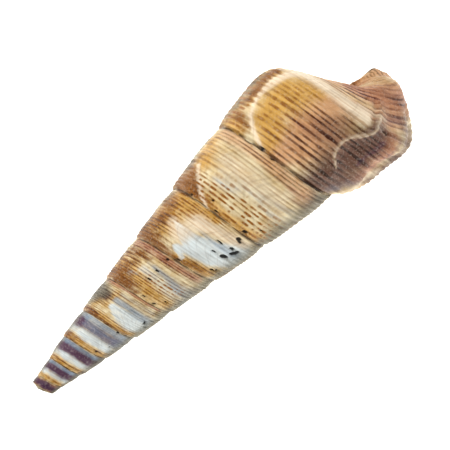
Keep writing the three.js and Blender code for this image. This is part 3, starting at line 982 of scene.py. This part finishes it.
def scars() -> list[Mark]:
    """Raise and sink the shell along growth lines: the healed lip and older lips.

    Returns:
        The marks.
    """
    # Points along a growth line: turn, span.
    crest = (
        (0.372, 0.2), (0.36, 0.3), (0.34, 0.38), (0.327, 0.48), (0.325, 0.56), (0.332, 0.64),
        (0.346, 0.7), (0.36, 0.77), (0.374, 0.84), (0.378, 0.92), (0.388, 1.02), (0.4, 1.2),
    )
    band = ((0.2, 0.05), (0.165, 0.13), (0.13, 0.26), (0.114, 0.4), (0.11, 0.55), (0.125, 0.8))
    # Feature, line, turns it is moved along the coil, half width in millimetres, strength.
    rows = (
        (Stain.RIDGE, crest, 0.0, 0.32, 1.0),
        (Stain.HOLLOW, crest, -0.016, 0.4, 0.6),
        (Stain.HOLLOW, crest, 0.035, 0.8, 0.7),
        (Stain.RIDGE, crest, 0.088, 0.9, 0.9),
        (Stain.HOLLOW, crest, 0.125, 0.5, 0.6),
        (Stain.RIDGE, crest, 0.16, 0.8, 0.6),
        (Stain.RIDGE, crest, 0.27, 0.5, 0.6),
        (Stain.RIDGE, band, 0.0, 0.7, 0.22),
        (Stain.HOLLOW, band, -0.02, 0.4, 0.25),
    )
    marks = []
    for feature, line, along, half, strength in rows:
        path = tuple((turn + along, span, half) for turn, span in line)
        marks.append(Mark(feature, path, strength, 1.0))
    return marks


@dataclass
class StainMap:
    """Works out how strong each stain is at each vertex."""

    form: SpiralForm
    turn: np.ndarray
    span: np.ndarray
    fade: float = 0.6
    spare: float = 1.1

    def strength(self, marks: Iterable[Mark], stain: Stain) -> np.ndarray:
        """Add up one stain.

        Args:
            marks: Every mark on the shell.
            stain: The stain to gather.

        Returns:
            Its strength at each vertex, from 0 to 1; marks overlap without piling up.
        """
        left = np.ones(len(self.turn))
        for mark in marks:
            if mark.stain is stain:
                left *= 1.0 - mark.strength * self.cover(mark)
        return 1.0 - left

    def cover(self, mark: Mark) -> np.ndarray:
        """Spread one mark.

        Args:
            mark: The mark.

        Returns:
            How far it covers each vertex, from 0 to 1.
        """
        middle = float(np.mean([p[0] for p in mark.path]))
        reach = float(self.form.reach(middle))
        around = TAU * self.form.width * reach
        across = self.form.whorl_height(middle)
        most = max(p[2] for p in mark.path) * (self.spare + self.fade * mark.soft)
        turns = [p[0] for p in mark.path]
        margin = most / around
        near = (self.turn > min(turns) - margin) & (self.turn < max(turns) + margin)
        cover = np.zeros(len(self.turn))
        index = np.flatnonzero(near)
        x = self.turn[index] * around
        y = self.span[index] * across
        best = np.full(len(index), FAR)
        for a, b in zip(mark.path[:-1], mark.path[1:]):
            ax, ay = a[0] * around, a[1] * across
            dx, dy = b[0] * around - ax, b[1] * across - ay
            share = ((x - ax) * dx + (y - ay) * dy) / max(dx * dx + dy * dy, TINY)
            share = np.clip(share, 0.0, 1.0)
            half = a[2] + (b[2] - a[2]) * share
            gap = np.hypot(x - ax - dx * share, y - ay - dy * share)
            best = np.minimum(best, gap / half)
        edge = mark.soft * self.fade
        cover[index] = 1.0 - ease(1.0 - edge, 1.0 + edge, best)
        return cover


@dataclass
class ReliefTree:
    """The Geometry Nodes that raise the shell's sculpture along its coil.

    Attributes:
        name: The tree's name.
        uneven: How noise scales a thread's height, as (slope, height without noise).
        rubbed: How wear scales it, in the same way.
        gappy: How noise scales the seam's depth.
        chipped: How noise scales the height of a ridge.
        inside_from: The inside flag past which a face belongs to the lining.
        sizes: The tree's inputs, in millimetres apart from the seed.
    """

    name: str = "raise_sculpture"
    uneven: tuple[float, float] = (2.4, 0.9)
    rubbed: tuple[float, float] = (-0.75, 1.0)
    gappy: tuple[float, float] = (2.6, 0.75)
    chipped: tuple[float, float] = (0.7, 1.0)
    inside_from: float = 0.6
    sizes: dict[str, float] = field(
        default_factory=lambda: {
            "Thread Height": 0.06,
            "Wrinkle Height": 0.06,
            "Lump Height": 0.16,
            "Seam Depth": 0.16,
            "Ridge Height": 0.3,
            "Pit Depth": 0.45,
            "Deepest": -0.2,
            "Seed": 3.0,
        }
    )

    def build(self) -> bpy.types.NodeTree:
        """Make the tree.

        Returns:
            The node group, its sizes in millimetres as named inputs.
        """
        tree = bpy.data.node_groups.new(self.name, "GeometryNodeTree")
        sockets = tree.interface
        sockets.new_socket(name="Geometry", in_out="INPUT", socket_type="NodeSocketGeometry")
        for name in self.sizes:
            sockets.new_socket(name=name, in_out="INPUT", socket_type="NodeSocketFloat")
        for name in ("Outside", "Inside"):
            sockets.new_socket(name=name, in_out="INPUT", socket_type="NodeSocketMaterial")
        sockets.new_socket(name="Geometry", in_out="OUTPUT", socket_type="NodeSocketGeometry")
        given = tree.nodes.new("NodeGroupInput").outputs
        node = partial(add_node, tree)

        known = {}
        for name in "turn span thread grown seam inside worn ridge hollow pit".split():
            kind = "GeometryNodeInputNamedAttribute"
            known[name] = node(kind, {"Name": name}, "Attribute", data_type="FLOAT")
        coil = node(JOIN, (known["turn"], known["span"], given["Seed"]))
        grown = node(JOIN, (known["grown"], known["span"], given["Seed"]))
        # Name, place, repeats in a turn and across a whorl, detail.
        noise = {}
        for name, place, scale, detail in (
            ("uneven", coil, (26.0, 28.6, 1.0), 2.0),
            ("folds", grown, (75.0, 2.5, 1.0), 3.0),
            ("swell", coil, (9.0, 3.0, 1.0), 1.0),
            ("gap", coil, (60.0, 9.0, 1.0), 3.0),
        ):
            spread = node(VECTOR, (place, scale), operation="MULTIPLY")
            texture = node(NOISE, {"Vector": spread, "Scale": 1.0, "Detail": detail})
            noise[name] = node(MATH, (texture, 0.5), operation="SUBTRACT")

        turned = node(MATH, (known["thread"], TAU), operation="MULTIPLY")
        threads = node(MATH, (turned,), operation="COSINE")
        crisp = node(MATH, (noise["uneven"], *self.uneven), operation="MULTIPLY_ADD")
        fresh = node(MATH, (known["worn"], *self.rubbed), operation="MULTIPLY_ADD")
        away = node(MATH, (1.0, known["seam"]), operation="SUBTRACT")
        for share in (given["Thread Height"], crisp, fresh, away):
            threads = node(MATH, (threads, share), operation="MULTIPLY")

        lumps = node(MATH, (noise["swell"], given["Lump Height"]), operation="MULTIPLY")
        lumps = node(MATH, (lumps, away), operation="MULTIPLY")
        gap = node(MATH, (noise["gap"], *self.gappy), operation="MULTIPLY_ADD")
        seam = node(MATH, (known["seam"], given["Seam Depth"]), operation="MULTIPLY")
        seam = node(MATH, (seam, gap), operation="MULTIPLY")
        chipped = node(MATH, (noise["uneven"], *self.chipped), operation="MULTIPLY_ADD")
        ridge = node(MATH, (known["ridge"], known["hollow"]), operation="SUBTRACT")
        ridge = node(MATH, (ridge, given["Ridge Height"]), operation="MULTIPLY")

        height = node(MATH, (threads, lumps), operation="ADD")
        wrinkles = (noise["folds"], given["Wrinkle Height"], height)
        height = node(MATH, wrinkles, operation="MULTIPLY_ADD")
        height = node(MATH, (ridge, chipped, height), operation="MULTIPLY_ADD")
        height = node(MATH, (height, given["Deepest"]), operation="MAXIMUM")
        height = node(MATH, (height, seam), operation="SUBTRACT")
        pit = node(MATH, (known["pit"], given["Pit Depth"]), operation="MULTIPLY")
        height = node(MATH, (height, pit), operation="SUBTRACT")
        outer = node(MATH, (known["inside"], -MM, MM), operation="MULTIPLY_ADD")
        height = node(MATH, (height, outer), operation="MULTIPLY")
        normal = node("GeometryNodeInputNormal")
        push = node(VECTOR, {0: normal, "Scale": height}, operation="SCALE")
        body = node("GeometryNodeSetPosition", {"Geometry": given["Geometry"], "Offset": push})
        body = node("GeometryNodeRealizeInstances", (body,))
        inputs = {"Geometry": body, "Material": given["Outside"]}
        body = node("GeometryNodeSetMaterial", inputs)
        inner = node(MATH, (known["inside"], self.inside_from), operation="GREATER_THAN")
        inputs = {"Geometry": body, "Selection": inner, "Material": given["Inside"]}
        body = node("GeometryNodeSetMaterial", inputs)
        node("NodeGroupOutput", (body,))
        return tree

    def apply(
        self, piece: bpy.types.Object, outside: bpy.types.Material, inside: bpy.types.Material
    ) -> None:
        """Raise the sculpture on a piece and keep the result as its plain mesh.

        Args:
            piece: The wound shell.
            outside: The finish of its outside.
            inside: The finish of its lining.
        """
        tree = self.build()
        modifier = piece.modifiers.new("sculpture", "NODES")
        modifier.node_group = tree
        values: dict[str, Any] = {**self.sizes, "Outside": outside, "Inside": inside}
        for item in tree.interface.items_tree:
            if item.in_out == "INPUT" and item.name in values:
                modifier[item.identifier] = values[item.name]
        graph = bpy.context.evaluated_depsgraph_get()
        finished = bpy.data.meshes.new_from_object(piece.evaluated_get(graph), depsgraph=graph)
        piece.modifiers.remove(modifier)
        rough = piece.data
        piece.data = finished
        bpy.data.meshes.remove(rough)


@dataclass(frozen=True)
class WeatheredShell:
    """Weathered aragonite: old seashell, its skin rubbed off and its colours bleached in patches.

    What gives the look is colour laid along the coil: fine broken brown threads over cream and
    honey, chalky white where the skin is gone, and a dull waxy gloss rather than a polish.
    """

    cream: str = "#EFDFB8"
    cream_deep: str = "#D9BC86"
    cream_thread: str = "#8C5A12"
    dash_ink: str = "#A0671A"
    grain_shade: str = "#8A725C"
    growth_shade: str = "#8F7B66"
    speckle_tint: str = "#F4EADA"
    # The seam's dark line: grime, and painted shade in the groove.
    seam_grime_and_shade_tone: str = "#371F12"
    # The pits' near black: painted shade in the bores.
    pit_shade: str = "#140D0B"
    sheen: float = 0.28
    roughness: tuple[float, float] = (0.34, 0.58)
    bump: float = 0.35
    bump_mm: float = 0.05
    speckles_per_mm: float = 4.0
    edge_break: float = 2.4
    thread_break: tuple[float, float] = (0.5, -0.5)
    wide_break: float = 0.25
    onset: float = 5.0
    bead: tuple[float, float] = (1.5, -0.75)
    # Where each smooth step starts and ends, and for the last five its height at either end.
    line_edge: tuple[float, float] = (-0.15, 0.75)
    dash_edge: tuple[float, float] = (-0.4, 0.8)
    deep_cream: tuple[float, float] = (0.35, 0.7)
    stain_edge: tuple[float, float] = (0.05, 0.95)
    solid_line: tuple[float, float] = (0.3, 0.58)
    faint_line: tuple[float, float] = (0.3, 0.7)
    faintness: float = 0.5
    dash_run: tuple[float, float] = (0.42, 0.57)
    patchy: tuple[float, float] = (0.25, 0.65)
    polish: tuple[float, float] = (0.3, 0.7)
    grain: tuple[float, ...] = (0.3, 0.72, 0.0, 0.3)
    growth: tuple[float, ...] = (0.48, 0.72, 0.0, 0.2)
    speckle: tuple[float, ...] = (0.5, 0.7, 0.0, 0.14)
    seam_grime_and_shade: tuple[float, ...] = (0.1, 0.8, 0.0, 0.78)
    pit_shade_edge: tuple[float, ...] = (0.3, 0.7, 0.0, 0.9)
    # Each stain's colour between threads, colour on them, opacity, and how broken its edge is.
    stains: tuple = (
        (Stain.TAN, "#DDA87A", "#4C1E0C", 0.9, 0.35),
        (Stain.HONEY, "#DAA84C", "#84500F", 0.9, 0.5),
        (Stain.OCHRE, "#8E570C", "#4A2603", 0.95, 1.2),
        (Stain.RUST, "#BE8464", "#6A2D17", 0.85, 0.6),
        # Shade: purple-brown, also painted shade in the scar's trough and at some whorl edges.
        (Stain.SHADE, "#6E473C", "#2A1412", 0.93, 0.4),
        (Stain.VIOLET, "#5F3D5A", "#3A2840", 0.97, 0.3),
        (Stain.WORN, "#E3ECED", "#BFC8C4", 0.95, 0.8),
        (Stain.BLUE, "#98ABBE", "#707F8C", 0.85, 0.4),
        (Stain.CHALK, "#F8E6CA", "#DCB890", 0.95, 0.25),
        # Olive: its grey-olive also paints shade along the whorls' edges.
        (Stain.OLIVE, "#736F5C", "#4A402C", 0.88, 0.4),
    )

    def build(self) -> bpy.types.Material:
        """Make the material.

        Returns:
            The outside's material.
        """
        material = bpy.data.materials.new("weathered_shell")
        material.use_nodes = True
        tree = material.node_tree
        tree.nodes.clear()
        node = partial(add_node, tree)
        known, noise = self.read_surface(node)
        ground, ink = self.lay_stains(node, known, noise)
        colour = self.draw_threads(node, known, noise, ground, ink)
        colour = self.soil(node, known, noise, colour)
        polish = node(RANGE, (noise["streaks"], *self.polish), **SMOOTH)
        dull = node(MATH, (polish, known["worn"]), operation="MAXIMUM")
        rough = node(RANGE, (dull, 0.0, 1.0, *self.roughness))
        fine = node(MATH, (noise["growth"], noise["streaks"]), operation="ADD")
        inputs = {"Height": fine, "Strength": self.bump, "Distance": self.bump_mm * MM}
        bump = node("ShaderNodeBump", inputs)
        inputs = {"Base Color": colour, "Roughness": rough, "IOR": ARAGONITE_IOR, "Normal": bump}
        inputs["Specular IOR Level"] = self.sheen
        skin = node("ShaderNodeBsdfPrincipled", inputs)
        node("ShaderNodeOutputMaterial", (skin,))
        return material

    def read_surface(self, node: Callable) -> tuple[dict[str, Any], dict[str, Any]]:
        """Read what the surface knows of itself, and spread noise along it.

        Streaks run along the coil, about 4 mm long and half a millimetre wide on the last
        whorl; growth lines cross them, half a millimetre apart. Each thread has its own run of
        dashes, half a millimetre long, and its own breaks in every stain's edge.

        Args:
            node: Adds a node to the material.

        Returns:
            What is known at each point and the noises there, by name.
        """
        spiral = node("ShaderNodeUVMap", uv_map="spiral")
        span = node("ShaderNodeSeparateXYZ", (spiral,), output="Y")
        threads = node("ShaderNodeUVMap", uv_map="threads")
        turn = node("ShaderNodeSeparateXYZ", (threads,))
        phase = node("ShaderNodeSeparateXYZ", (threads,), output="Y")
        known = {"phase": phase}
        for name in (*(s.value for s in Stain), "grown", "seam"):
            known[name] = node("ShaderNodeAttribute", output="Fac", attribute_name=name)
        thread = node(MATH, (phase,), operation="FLOOR")
        numbered = node(JOIN, (turn, thread, 0.0))
        grown = node(JOIN, (known["grown"], span, 0.0))
        # Name, place, repeats in a turn and across a whorl or thread, layer, detail.
        noise = {}
        for name, place, scale, layer, detail in (
            ("streaks", spiral, (15.0, 24.0, 1.0), 0.3, 3.0),
            ("blotches", spiral, (22.0, 5.0, 1.0), 4.3, 3.0),
            ("gap", spiral, (22.0, 12.0, 1.0), 12.3, 4.0),
            ("growth", grown, (110.0, 3.0, 1.0), 7.3, 3.0),
            ("dashes", numbered, (58.0, 5.37, 1.0), 2.3, 1.0),
            ("lines", numbered, (11.0, 3.71, 1.0), 9.3, 3.0),
        ):
            inputs = (place, scale, (0.0, 0.0, layer))
            spread = node(VECTOR, inputs, operation="MULTIPLY_ADD")
            noise[name] = node(NOISE, {"Vector": spread, "Scale": 1.0, "Detail": detail})
        return known, noise

    def lay_stains(self, node: Callable, known: dict, noise: dict) -> tuple[Any, Any]:
        """Lay every stain over the cream, its edge broken thread by thread.

        Args:
            node: Adds a node to the material.
            known: What is known at each point.
            noise: The noises there.

        Returns:
            The colour between threads and the colour of their lines.
        """
        ragged = node(MATH, (noise["lines"], *self.thread_break), operation="MULTIPLY_ADD")
        for name in ("blotches", "streaks"):
            ragged = node(MATH, (noise[name], self.wide_break, ragged), operation="MULTIPLY_ADD")
        ragged = node(MATH, (ragged, self.edge_break), operation="MULTIPLY")
        deep = node(RANGE, (noise["blotches"], *self.deep_cream), **SMOOTH)
        creams = {0: deep, 6: linear(self.cream), 7: linear(self.cream_deep)}
        ground = node(BLEND, creams, **COLOUR)
        ink = linear(self.cream_thread)
        for stain, ground_hex, ink_hex, opacity, broken in self.stains:
            laid = known[stain.value]
            cover = node(MATH, (ragged, broken, laid), operation="MULTIPLY_ADD")
            cover = node(RANGE, (cover, *self.stain_edge), **SMOOTH)
            some = node(MATH, (laid, self.onset), operation="MULTIPLY", use_clamp=True)
            for share in (some, opacity):
                cover = node(MATH, (cover, share), operation="MULTIPLY")
            ground = node(BLEND, {0: cover, 6: ground, 7: linear(ground_hex)}, **COLOUR)
            ink = node(BLEND, {0: cover, 6: ink, 7: linear(ink_hex)}, **COLOUR)
        return ground, ink

    def draw_threads(
        self, node: Callable, known: dict, noise: dict, ground: Any, ink: Any
    ) -> Any:
        """Draw each thread's dark line between two crests, and its dashes.

        Args:
            node: Adds a node to the material.
            known: What is known at each point.
            noise: The noises there.
            ground: The colour between threads.
            ink: The colour of their lines.

        Returns:
            The colour with the threads drawn.
        """
        middle = node(MATH, (known["phase"], 0.5), operation="SUBTRACT")
        middle = node(MATH, (middle, TAU), operation="MULTIPLY")
        wave = node(MATH, (middle,), operation="COSINE")
        beads = node(MATH, (noise["dashes"], *self.bead), operation="MULTIPLY_ADD")
        wave = node(MATH, (wave, beads), operation="ADD")
        solid = node(RANGE, (noise["lines"], *self.solid_line), **SMOOTH)
        solid = node(MATH, (solid, known["lines"]), operation="MULTIPLY")
        faint = node(RANGE, (noise["lines"], *self.faint_line), **SMOOTH)
        faint = node(MATH, (faint, self.faintness), operation="MULTIPLY")
        amount = node(MATH, (solid, faint), operation="MAXIMUM")
        line = node(RANGE, (wave, *self.line_edge), **SMOOTH)
        amount = node(MATH, (amount, line), operation="MULTIPLY")
        colour = node(BLEND, {0: amount, 6: ground, 7: ink}, **COLOUR)
        dash = node(RANGE, (noise["dashes"], *self.dash_run), **SMOOTH)
        broad = node(RANGE, (wave, *self.dash_edge), **SMOOTH)
        for share in (known["dashes"], broad):
            dash = node(MATH, (dash, share), operation="MULTIPLY")
        return node(BLEND, {0: dash, 6: colour, 7: linear(self.dash_ink)}, **COLOUR)

    def soil(self, node: Callable, known: dict, noise: dict, colour: Any) -> Any:
        """Shade the grain, speckle it with chalk, and darken the seam with grime and painted shade
        and the pits with painted shade.

        Args:
            node: Adds a node to the material.
            known: What is known at each point.
            noise: The noises there.
            colour: The colour so far.

        Returns:
            The colour of the weathered skin.
        """
        place = node("ShaderNodeTexCoord", output="Object")
        inputs = {"Vector": place, "Scale": self.speckles_per_mm / MM, "Detail": 2.0}
        speckle = node(NOISE, inputs)
        # The seam darkens with grime and painted shade in its groove; the pits go near black with
        # painted shade.
        patchy = node(RANGE, (noise["gap"], *self.patchy), **SMOOTH)
        seam_grime_and_shade = node(MATH, (known["seam"], patchy), operation="MULTIPLY")
        for source, step, tone, how in (
            (noise["streaks"], self.grain, self.grain_shade, TINT),
            (noise["growth"], self.growth, self.growth_shade, TINT),
            (speckle, self.speckle, self.speckle_tint, COLOUR),
            (seam_grime_and_shade, self.seam_grime_and_shade, self.seam_grime_and_shade_tone, COLOUR),
            (known["pit"], self.pit_shade_edge, self.pit_shade, COLOUR),
        ):
            share = node(RANGE, (source, *step), **SMOOTH)
            colour = node(BLEND, {0: share, 6: colour, 7: linear(tone)}, **how)
        return colour


@dataclass(frozen=True)
class PorcelainLining:
    """Smooth inner shell: the same aragonite laid down against the animal's soft skin.

    It is polished like porcelain, and the outside's brown shows faintly through it.
    """

    pale: str = "#CDB79B"
    brown: str = "#9A7658"
    roughness: float = 0.22
    clouds: tuple[float, ...] = (9.0, 9.0, 1.0)
    cloud_step: tuple[float, float] = (0.35, 0.65)

    def build(self) -> bpy.types.Material:
        """Make the material.

        Returns:
            The lining's material.
        """
        material = bpy.data.materials.new("porcelain_lining")
        material.use_nodes = True
        tree = material.node_tree
        tree.nodes.clear()
        node = partial(add_node, tree)
        spiral = node("ShaderNodeUVMap", uv_map="spiral")
        spread = node(VECTOR, (spiral, self.clouds), operation="MULTIPLY")
        cloud = node(NOISE, {"Vector": spread, "Scale": 1.0, "Detail": 3.0})
        share = node(RANGE, (cloud, *self.cloud_step))
        colours = {0: share, 6: linear(self.pale), 7: linear(self.brown)}
        colour = node(BLEND, colours, **COLOUR)
        inputs = {"Base Color": colour, "Roughness": self.roughness, "IOR": ARAGONITE_IOR}
        skin = node("ShaderNodeBsdfPrincipled", inputs)
        node("ShaderNodeOutputMaterial", (skin,))
        return material


@dataclass
class TurretShell:
    """The shell as one piece: wound, stained, sculpted and laid down as the CAD part lies."""

    node: str = "shell"
    slot: str = "shell"
    axis_rise: float = 9.23
    roll: float = 104.4
    seam_width: float = 0.016
    winding: ShellWinding = field(default_factory=ShellWinding)
    relief: ReliefTree = field(default_factory=ReliefTree)
    shift: np.ndarray = field(default_factory=lambda: np.zeros(3))

    def turned(self, points: np.ndarray) -> np.ndarray:
        """Turn points from the shell's own frame to how it lies.

        Args:
            points: The points, the shell's axis along Z.

        Returns:
            The turned points.
        """
        lean = Matrix.Rotation(math.radians(90.0 - self.axis_rise), 3, "Y")
        roll = Matrix.Rotation(math.radians(self.roll), 3, "Z")
        return points @ np.array(lean @ roll).T

    def laid(self, points: np.ndarray) -> np.ndarray:
        """Move points from the shell's own frame, in millimetres, to the row frame."""
        return (self.turned(points) + self.shift) * MM

    def build(self) -> bpy.types.Object:
        """Wind the surface and lay it down.

        Returns:
            The shell's object, with what each vertex knows stored as attributes.
        """
        surface = self.winding.wind()
        points = np.concatenate(surface.points)
        known = np.concatenate(surface.known)
        low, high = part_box(self.node)
        placed = self.turned(points)
        middle = (placed.max(axis=0) + placed.min(axis=0)) / 2
        centre = (np.array(low) + np.array(high)) / 2 / MM
        self.shift = centre - middle
        self.shift[2] = low[2] / MM - placed[:, 2].min()
        mesh = bpy.data.meshes.new(self.node)
        mesh.from_pydata(self.laid(points).tolist(), [], surface.faces)
        mesh.polygons.foreach_set("use_smooth", np.ones(len(mesh.polygons), bool))
        corners = np.array([c for face in surface.corners for c in face], np.float32)
        threads = corners.copy()
        threads[:, 1] = self.winding.form.thread(*corners.astype(float).T)
        for name, places in (("spiral", corners), ("threads", threads)):
            mesh.uv_layers.new(name=name).data.foreach_set("uv", places.ravel())
        for name, values in self.attributes(known).items():
            attribute = mesh.attributes.new(name, "FLOAT", "POINT")
            attribute.data.foreach_set("value", values.astype(np.float32))
        mesh.update()
        piece = bpy.data.objects.new("turret_shell", mesh)
        bpy.context.scene.collection.objects.link(piece)
        return piece

    def attributes(self, known: np.ndarray) -> dict[str, np.ndarray]:
        """Work out what each vertex knows.

        Args:
            known: The turn, span and inside flag of each vertex.

        Returns:
            Named values, one for each vertex.
        """
        form = self.winding.form
        turn, span, inside = known.T
        row = np.interp(span, np.linspace(0.0, 1.0, form.seam_row + 1), range(form.seam_row + 1))
        lower = np.where(turn < form.last_turn - 1.0, 1.0 - span, FAR)
        gap = np.minimum(np.abs(span), np.abs(lower))
        values = {
            "turn": turn,
            "span": span,
            "thread": form.thread(turn, span),
            "grown": turn - form.lag(row),
            "inside": inside,
            "seam": np.exp(-((gap / self.seam_width) ** 2)),
        }
        marks = [*hand_marks(), *banding(), *painted_edge_shade(), *far_side(), *pits(), *scars()]
        stain_map = StainMap(form, turn, span)
        for stain in Stain:
            values[stain.value] = stain_map.strength(marks, stain)
        return values

    def dress(self, piece: bpy.types.Object) -> None:
        """Give the shell its sculpture and finishes, and tie it to the CAD body.

        Args:
            piece: The wound shell.
        """
        outside = WeatheredShell().build()
        inside = PorcelainLining().build()
        piece.data.materials.append(outside)
        piece.data.materials.append(inside)
        self.relief.apply(piece, outside, inside)
        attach(piece, "root")
        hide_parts(self.node)


@dataclass
class Studio:
    """A pale floor, a long-lens camera that faces the shell's back, and soft light.

    The key lamp's side is given along the camera's right, up and backward directions.
    """

    shell: TurretShell
    lens: float = 200.0
    sensor: float = 36.0
    field_mm: float = 56.97
    aim_mm: tuple[float, float, float] = (-1.57, 0.0, 39.04)
    tilt: float = 44.5
    floor_size: float = 6.0
    floor_grey: str = "#F4F4F2"
    floor_glow: float = 0.9
    key_power: float = 2.95
    key_size: float = 0.5
    key_side: tuple[float, float, float] = (-0.5, 0.42, 0.78)
    key_distance: float = 0.8
    sky: float = 0.52
    clip: tuple[float, float] = (0.01, 20.0)
    floor_roughness: float = 0.9

    def axes(self) -> tuple[Vector, Vector, Vector]:
        """Find the camera's directions.

        Returns:
            Its right, up and backward directions in the row frame.
        """
        angle = math.radians(self.tilt)
        right = (-math.sin(angle), 0.0, math.cos(angle))
        up = (math.cos(angle), 0.0, math.sin(angle))
        rows = self.shell.turned(np.array([right, up, (0.0, 1.0, 0.0)]))
        return (Vector(rows[0]), Vector(rows[1]), Vector(rows[2]))

    def build(self) -> None:
        """Make the floor, the camera and the lights."""
        aim = Vector(self.shell.laid(np.array([self.aim_mm]))[0])
        right, up, back = self.axes()
        self.make_floor()
        self.make_camera(aim, right, up, back)
        self.make_light(aim, right, up, back)
        self.make_sky()

    def make_floor(self) -> None:
        """Make the floor: matt white card, lit a little from within so that it stays pale."""
        half = self.floor_size / 2
        mesh = bpy.data.meshes.new("floor")
        corners = [(-half, -half, 0.0), (half, -half, 0.0), (half, half, 0.0), (-half, half, 0.0)]
        mesh.from_pydata(corners, [], [(0, 1, 2, 3)])
        floor = bpy.data.objects.new("floor", mesh)
        bpy.context.scene.collection.objects.link(floor)
        material = bpy.data.materials.new("matt_card")
        material.use_nodes = True
        tree = material.node_tree
        tree.nodes.clear()
        inputs = {
            "Base Color": linear(self.floor_grey),
            "Roughness": self.floor_roughness,
            "Emission Color": linear(self.floor_grey),
            "Emission Strength": self.floor_glow,
        }
        card = add_node(tree, "ShaderNodeBsdfPrincipled", inputs)
        add_node(tree, "ShaderNodeOutputMaterial", (card,))
        mesh.materials.append(material)

    def make_camera(self, aim: Vector, right: Vector, up: Vector, back: Vector) -> None:
        """Make the camera, as far back as its lens needs for the field.

        Args:
            aim: The point that it looks at.
            right: Its right direction.
            up: Its up direction.
            back: The direction from the shell to it.
        """
        data = bpy.data.cameras.new("camera")
        data.lens = self.lens
        data.sensor_width = self.sensor
        distance = self.field_mm * MM * self.lens / self.sensor
        data.clip_start, data.clip_end = self.clip
        camera = bpy.data.objects.new("camera", data)
        bpy.context.scene.collection.objects.link(camera)
        turn = Matrix((right, up, back)).transposed().to_4x4()
        camera.matrix_world = Matrix.Translation(aim + back * distance) @ turn
        bpy.context.scene.camera = camera

    def make_light(self, aim: Vector, right: Vector, up: Vector, back: Vector) -> None:
        """Make one large soft lamp, up and to the camera's left.

        Args:
            aim: The point that it faces.
            right: The camera's right direction.
            up: Its up direction.
            back: The direction from the shell to it.
        """
        data = bpy.data.lights.new("key", "AREA")
        data.energy = self.key_power
        data.size = self.key_size
        lamp = bpy.data.objects.new("key", data)
        bpy.context.scene.collection.objects.link(lamp)
        across, above, behind = self.key_side
        side = (back * behind + right * across + up * above).normalized()
        lamp.location = aim + side * self.key_distance
        lamp.rotation_mode = "QUATERNION"
        lamp.rotation_quaternion = side.to_track_quat("Z", "Y")

    def make_sky(self) -> None:
        """Surround the scene with even white light."""
        world = bpy.data.worlds.new("studio")
        world.use_nodes = True
        tree = world.node_tree
        tree.nodes.clear()
        inputs = {"Color": (1.0, 1.0, 1.0, 1.0), "Strength": self.sky}
        glow = add_node(tree, "ShaderNodeBackground", inputs)
        add_node(tree, "ShaderNodeOutputWorld", (glow,))
        bpy.context.scene.world = world
        bpy.context.scene.view_settings.view_transform = "Standard"
        bpy.context.scene.view_settings.look = "Medium High Contrast"


def main() -> None:
    """Build the shell, then the studio round it."""
    logging.basicConfig(level=logging.INFO, format="%(name)s: %(message)s")
    shell = TurretShell()
    piece = shell.build()
    shell.dress(piece)
    LOG.info("%s: %d faces", piece.name, len(piece.data.polygons))
    Studio(shell).build()
    LOG.info("studio: floor, camera and lamp")


if __name__ == "__main__":
    main()
